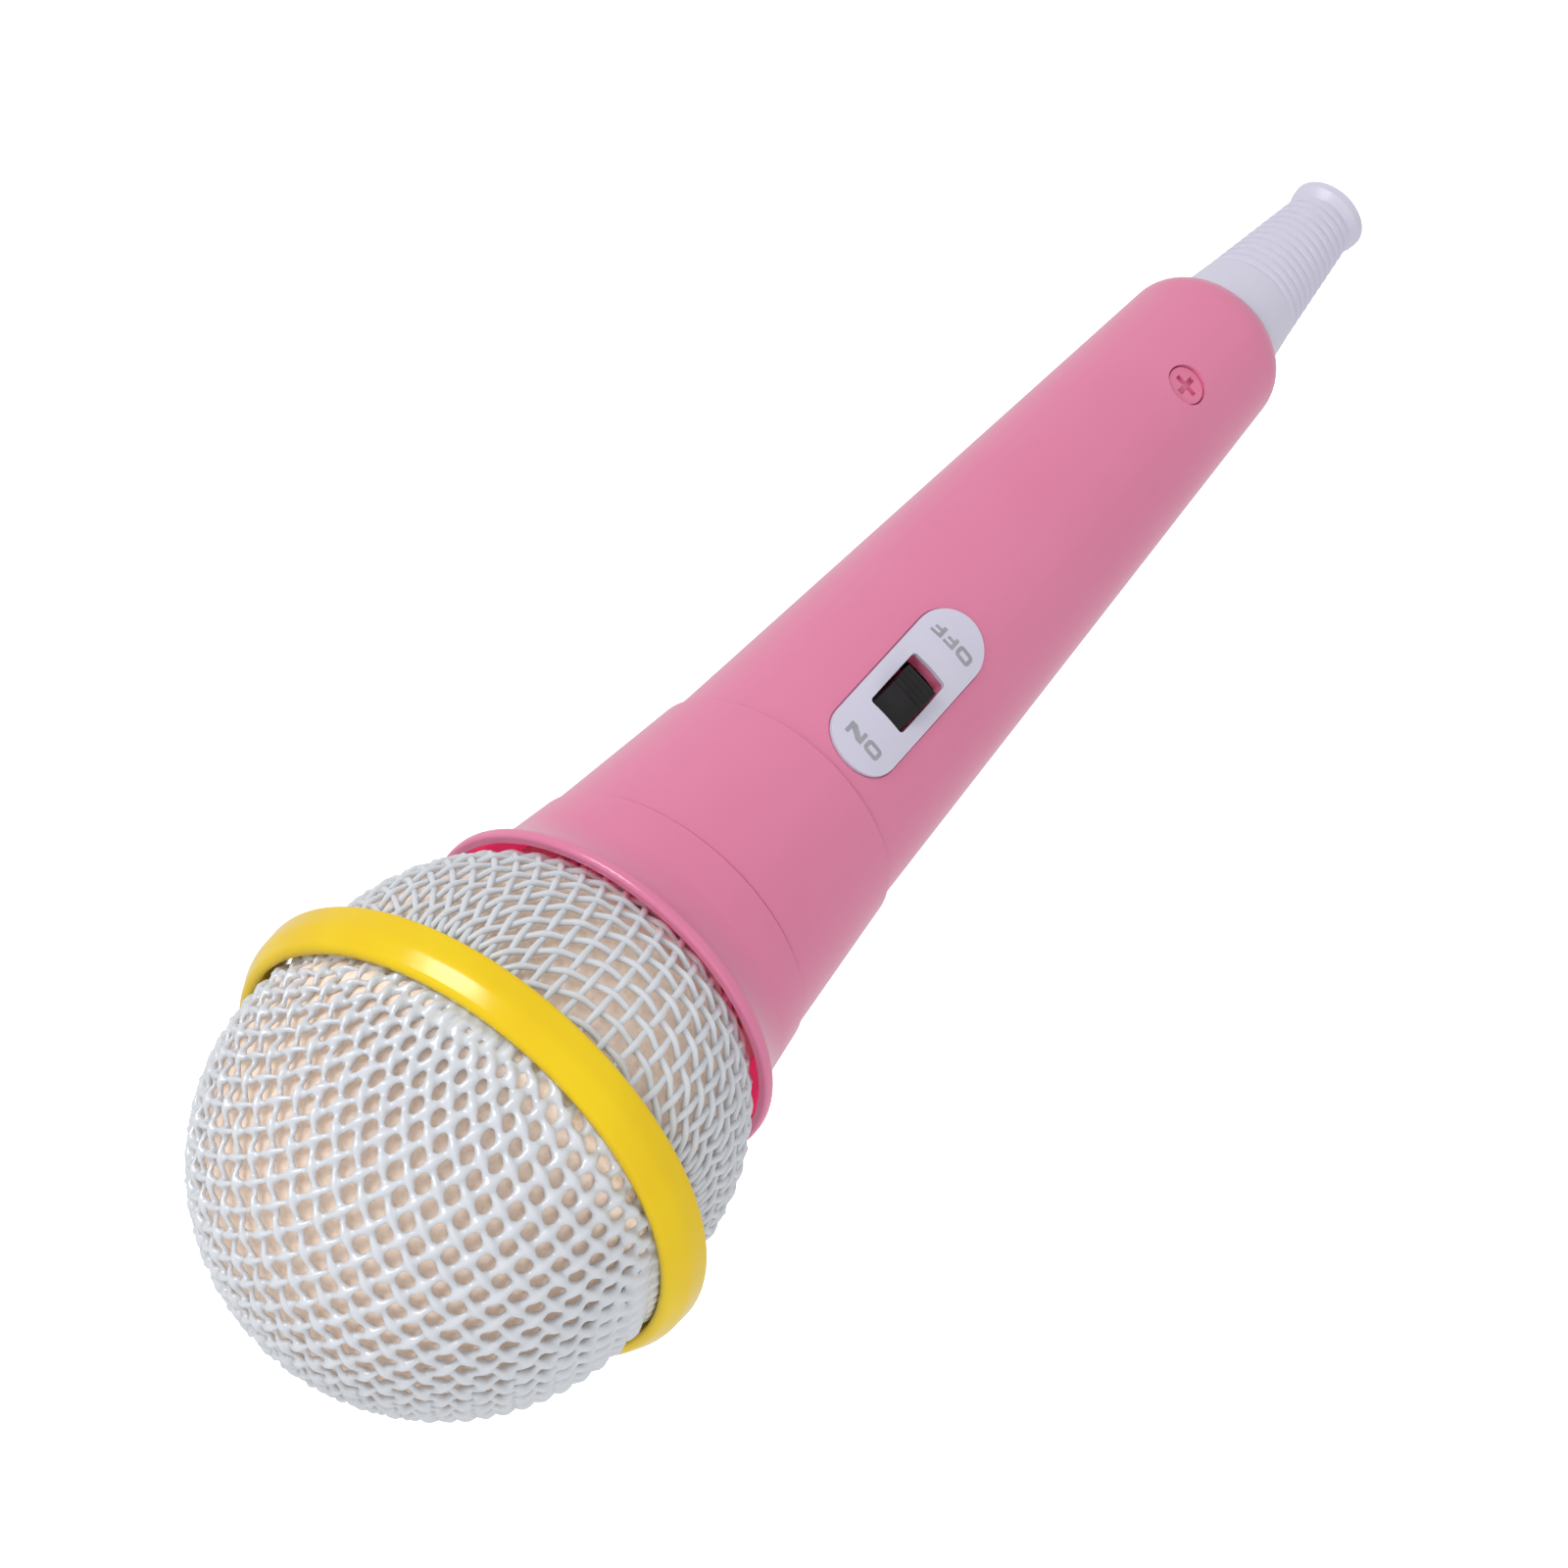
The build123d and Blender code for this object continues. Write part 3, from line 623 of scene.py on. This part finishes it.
# heights, in metres, of the painted glow inside the collar and in the handle's cuts, and how far below the
# handle's skin the painted glow starts
COLLAR_GLOW = (0.1405, 0.1475)
HANDLE_GLOW = (0.03, 0.1165)
GLOW_DEPTH = 0.0001


def pink_plastic():
    """Slightly see-through pink, with a painted red glow inside the collar and a fainter one in the handle's
    cuts, standing in for the light that soaks through.
    """
    material = moulded(
        "pink_plastic", (0.685, 0.208, 0.345), (0.665, 0.193, 0.33), drift=35.0, peel=500.0, smoothest=0.2,
        roughest=0.28, depth=0.000001, Specular_IOR_Level=0.33, Emission_Strength=1.0)
    tree = material.node_tree
    # painted red glow inside the collar, then a fainter painted glow on the handle's cut walls
    glow = place_group(
        tree, "painted_soak_glow", Glow=(0.36, 0.008, 0.05, 1), Low=COLLAR_GLOW[0], High=COLLAR_GLOW[1])
    cone_foot = HANDLE_END_R * MM - HANDLE_END * HANDLE_SLOPE * MM
    sunk = place_group(
        tree, "painted_sunk_glow", Glow=(0.05, 0.0, 0.004, 1), Radius=cone_foot, Slope=HANDLE_SLOPE,
        Depth=GLOW_DEPTH, Low=HANDLE_GLOW[0], High=HANDLE_GLOW[1])
    tree.links.new(glow.outputs["Glow"], sunk.inputs["Rest"])
    tree.links.new(sunk.outputs["Glow"], tree.nodes["Principled BSDF"].inputs["Emission Color"])
    return material


def soiled(name, colour, soil, amount, rough, patch=120.0, grain=1500.0, depth=0.00002, **fixed):
    """Painted, papery or rubbery surface with a thin film and a fine grain."""
    material, tree, shader = new_material(name, **fixed)
    film = place_group(
        tree, "handled_soil", Colour=(*colour, 1), Soil=(*soil, 1), Amount=amount, Patch_Size=patch)
    tree.links.new(film.outputs["Colour"], shader.inputs["Base Color"])
    place = tree.nodes.new("ShaderNodeTexCoord").outputs["Object"]
    fine = add_noise(tree, place, grain, detail=4.0)
    tree.links.new(add_range(tree, fine, 0.3, 0.7, rough - 0.06, rough + 0.08), shader.inputs["Roughness"])
    add_bump(tree, shader, fine, depth)
    return material


def metal(name, colour, dull):
    material, tree, shader = new_material(name, Metallic=1.0)
    lines = place_group(tree, "brushed_lines", Colour=(*colour, 1), Dull=(*dull, 1))
    tree.links.new(lines.outputs["Colour"], shader.inputs["Base Color"])
    tree.links.new(lines.outputs["Roughness"], shader.inputs["Roughness"])
    add_bump(tree, shader, lines.outputs["Height"], 0.000004)
    return material


def foam_with_painted_glow():
    """Skin-coloured open foam with a faint painted glow of its own, standing in for the light that soaks into
    it.
    """
    tone = (0.93, 0.765, 0.64, 1)
    # the emission is a faint painted glow in the foam's own colour
    material, tree, shader = new_material(
        "foam", Roughness=0.95, Emission_Color=tone, Emission_Strength=0.08)
    # the pore colour is a darker copy of the foam's colour: painted shade in the pores
    cells = place_group(tree, "open_cells", Colour=tone, Pore=(0.78, 0.58, 0.44, 1))
    tree.links.new(cells.outputs["Colour"], shader.inputs["Base Color"])
    add_bump(tree, shader, cells.outputs["Height"], 0.00006)
    return material


MATERIALS = {
    "mesh_paint": soiled(
        "mesh_paint", (0.625, 0.65, 0.69), (0.54, 0.555, 0.59), 0.35, 0.32, grain=500.0, depth=0.00003,
        Coat_Weight=0.25, Coat_Roughness=0.12),
    "yellow_plastic": moulded(
        "yellow_plastic", (0.80, 0.57, 0.006), (0.76, 0.51, 0.005), smoothest=0.17, roughest=0.2,
        depth=0.000001, Specular_IOR_Level=0.3),
    "pink_plastic": pink_plastic(),
    "white_plastic": moulded(
        "white_plastic", (0.60, 0.585, 0.70), (0.575, 0.56, 0.675), smoothest=0.32, roughest=0.42,
        depth=0.000002),
    "black_plastic": moulded(
        "black_plastic", (0.006, 0.005, 0.006), (0.012, 0.010, 0.012), drift=400.0, peel=2500.0,
        smoothest=0.16, roughest=0.26, depth=0.000002, Specular_IOR_Level=0.32),
    "inner_plastic": moulded(
        "inner_plastic", (0.60, 0.57, 0.52), (0.54, 0.51, 0.46), smoothest=0.4, roughest=0.55),
    "foam": foam_with_painted_glow(),
    "bright_steel": metal("bright_steel", (0.66, 0.66, 0.67), (0.42, 0.42, 0.43)),
    "capacitor_can": metal("capacitor_can", (0.10, 0.13, 0.34), (0.06, 0.07, 0.18)),
    "speaker_paper": soiled(
        "speaker_paper", (0.02, 0.02, 0.02), (0.06, 0.055, 0.05), 0.5, 0.85, depth=0.0001),
    "ferrite": soiled("ferrite", (0.04, 0.04, 0.045), (0.09, 0.09, 0.09), 0.5, 0.6, depth=0.00005),
    "black_rubber": soiled("black_rubber", (0.015, 0.015, 0.015), (0.05, 0.05, 0.05), 0.4, 0.7),
    "board_laminate": soiled(
        "board_laminate", (0.02, 0.16, 0.06), (0.05, 0.26, 0.10), 0.8, 0.35, patch=700.0),
    "cell_jacket": soiled("cell_jacket", (0.03, 0.09, 0.18), (0.10, 0.18, 0.26), 0.4, 0.3),
    "wire_cover": soiled("wire_cover", (0.42, 0.015, 0.015), (0.28, 0.02, 0.02), 0.5, 0.42),
    "pink_screw": soiled("pink_screw", (0.70, 0.18, 0.32), (0.62, 0.13, 0.26), 0.5, 0.3, depth=0.00003),
    "grey_ink": soiled("grey_ink", (0.29, 0.29, 0.33), (0.38, 0.38, 0.43), 0.6, 0.5, patch=900.0),
}


def dress(piece, name):
    piece.data.materials.clear()
    piece.data.materials.append(MATERIALS[name])


def dress_frame():
    """Every CAD node takes the finish that its material slot names."""
    for part in frame["record"]["subparts"]:
        node = frame["nodes"][part["node"]]
        for held in node.material_slots:
            held.material = MATERIALS[part["material_slot"]]


# ---------------------------------------------------------------- studio
FLOOR_Z = -0.2
AIM = Vector((0, 0, 0.12))
SKY_LIGHT, SKY_SEEN = 0.74, 1.05


def stage_floor():
    """Pale floor well below the microphone, which neither bounces light on it nor shows in its gloss."""
    bm = bmesh.new()
    bmesh.ops.create_grid(bm, x_segments=2, y_segments=2, size=6)
    bmesh.ops.translate(bm, verts=bm.verts, vec=(0, 0, FLOOR_Z))
    mesh = bpy.data.meshes.new("studio_floor")
    bm.to_mesh(mesh)
    bm.free()
    floor = bpy.data.objects.new("studio_floor", mesh)
    bpy.context.scene.collection.objects.link(floor)
    floor.visible_diffuse = False
    floor.visible_glossy = False
    material, tree, shader = new_material("studio_white", Roughness=0.9)
    place = tree.nodes.new("ShaderNodeTexCoord").outputs["Object"]
    cloud = add_noise(tree, place, 3.0)
    tree.links.new(
        add_mix(tree, cloud, (0.97, 0.97, 0.97, 1), (0.99, 0.99, 0.99, 1)), shader.inputs["Base Color"])
    shader.inputs["Emission Color"].default_value = (1, 1, 1, 1)
    shader.inputs["Emission Strength"].default_value = 0.55
    mesh.materials.append(material)


def soft_light(name, place, size, power, shine=True, lit=True):
    """A soft box aimed at the neck sleeve. Without shine it gives no glint, and unlit it gives only glints."""
    data = bpy.data.lights.new(name, "AREA")
    data.shape = "RECTANGLE"
    data.size, data.size_y = size
    data.energy = power
    lamp = bpy.data.objects.new(name, data)
    bpy.context.scene.collection.objects.link(lamp)
    lamp.location = place
    lamp.visible_glossy = shine
    lamp.visible_diffuse = lit
    lamp.rotation_euler = (Vector(place) - AIM).to_track_quat("Z", "Y").to_euler()


def light_studio():
    """Even white surroundings, brighter as a background than as light, and three soft boxes."""
    world = bpy.data.worlds.new("studio_world")
    bpy.context.scene.world = world
    world.use_nodes = True
    tree = world.node_tree
    sky = tree.nodes["Background"]
    sky.inputs["Color"].default_value = (1.0, 1.0, 1.0, 1)
    seen = tree.nodes.new("ShaderNodeLightPath").outputs["Is Camera Ray"]
    tree.links.new(add_range(tree, seen, 0.0, 1.0, SKY_LIGHT, SKY_SEEN), sky.inputs["Strength"])
    soft_light("side_box", (0.76, -0.47, 0.46), (0.55, 0.42), 4.2)
    soft_light("front_fill", (-0.95, -0.7, 1.3), (0.7, 0.7), 6.4, shine=False)
    soft_light("glint_box", (0.75, -0.50, 0.46), (0.36, 0.3), 4.0, lit=False)
    scene = bpy.context.scene
    scene.view_settings.view_transform = "Standard"
    scene.view_settings.look = "None"


def add_camera():
    """Looks down past the ball at the switch side, rolled so that the handle rises to the right."""
    data = bpy.data.cameras.new("camera")
    data.lens, data.sensor_width = 112.5, 36
    data.clip_start, data.clip_end = 0.01, 50
    camera = bpy.data.objects.new("camera", data)
    bpy.context.scene.collection.objects.link(camera)
    right = Vector((-0.672197, -0.471456, -0.570859))
    up = Vector((0.731483, -0.303782, -0.610449))
    turn = Matrix((right, up, right.cross(up))).transposed().to_4x4()
    camera.matrix_world = Matrix.Translation((0.061089, -0.434668, 0.401381)) @ turn
    bpy.context.scene.camera = camera


# ---------------------------------------------------------------- put together
dress_frame()
dress(dome_mesh(), "mesh_paint")
dress(basket_mesh(), "mesh_paint")
dress(clamp_ring(), "yellow_plastic")
dress(foam_pad(), "foam")
dress(switch_mark("on_mark", "ON", ON_MIDDLE), "grey_ink")
dress(switch_mark("off_mark", "OFF", OFF_MIDDLE), "grey_ink")
stage_floor()
light_studio()
add_camera()
